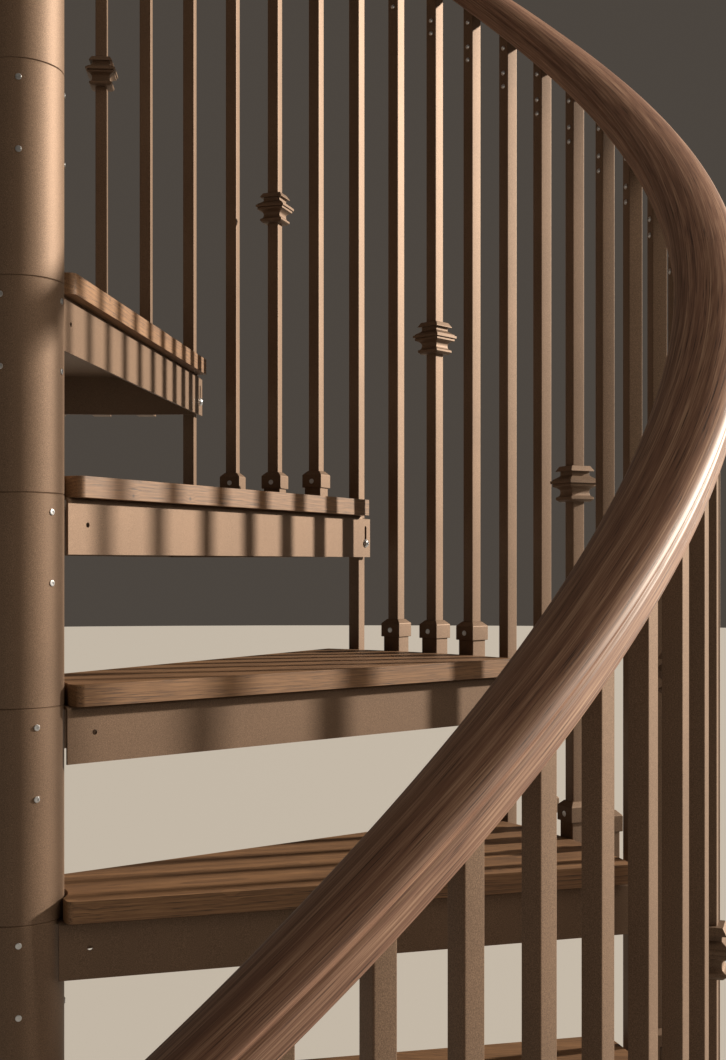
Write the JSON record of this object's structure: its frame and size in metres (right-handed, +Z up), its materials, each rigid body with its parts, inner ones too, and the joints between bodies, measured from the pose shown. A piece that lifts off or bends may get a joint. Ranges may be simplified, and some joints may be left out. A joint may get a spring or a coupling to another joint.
{
  "type": "spiral staircase",
  "caption": "Spiral staircase with oak treads on folded steel trays, stacked column sleeves, square balusters with moulded collars and a helical wooden handrail.",
  "frame": {"origin": "on the column's axis, on the underside of the base plate, where it stands on the floor", "axes": "+Z up along the column; the tall baluster of the first tread lies towards -Y, and the stair climbs anticlockwise seen from above, towards +X first"},
  "size_m": [1.437, 1.4369, 3.6917],
  "materials": {
    "bronze_paint": "fine-textured brown powder coat",
    "oak_board": "oiled oak, satin",
    "rail_wood": "varnished wood, satin",
    "zinc_steel": "zinc-plated"
  },
  "bodies": {
    "root": {"base_plate": "bronze_paint", "centre_pole": "zinc_steel", "column_top": "bronze_paint", "top_baluster": "bronze_paint", "tread_01": "oak_board", "tread_02": "oak_board", "tread_03": "oak_board", "tread_04": "oak_board", "tread_05": "oak_board", "tread_06": "oak_board", "tread_07": "oak_board", "tread_08": "oak_board", "tread_09": "oak_board", "tread_10": "oak_board", "tread_11": "oak_board", "tread_12": "oak_board", "carrier_01": "bronze_paint", "carrier_02": "bronze_paint", "carrier_03": "bronze_paint", "carrier_04": "bronze_paint", "carrier_05": "bronze_paint", "carrier_06": "bronze_paint", "carrier_07": "bronze_paint", "carrier_08": "bronze_paint", "carrier_09": "bronze_paint", "carrier_10": "bronze_paint", "carrier_11": "bronze_paint", "carrier_12": "bronze_paint", "balusters_01": "bronze_paint", "balusters_02": "bronze_paint", "balusters_03": "bronze_paint", "balusters_04": "bronze_paint", "balusters_05": "bronze_paint", "balusters_06": "bronze_paint", "balusters_07": "bronze_paint", "balusters_08": "bronze_paint", "balusters_09": "bronze_paint", "balusters_10": "bronze_paint", "balusters_11": "bronze_paint", "balusters_12": "bronze_paint", "handrail_1": "rail_wood", "handrail_2": "rail_wood", "handrail_3": "rail_wood", "handrail_4": "rail_wood"}
  },
  "joints": []
}
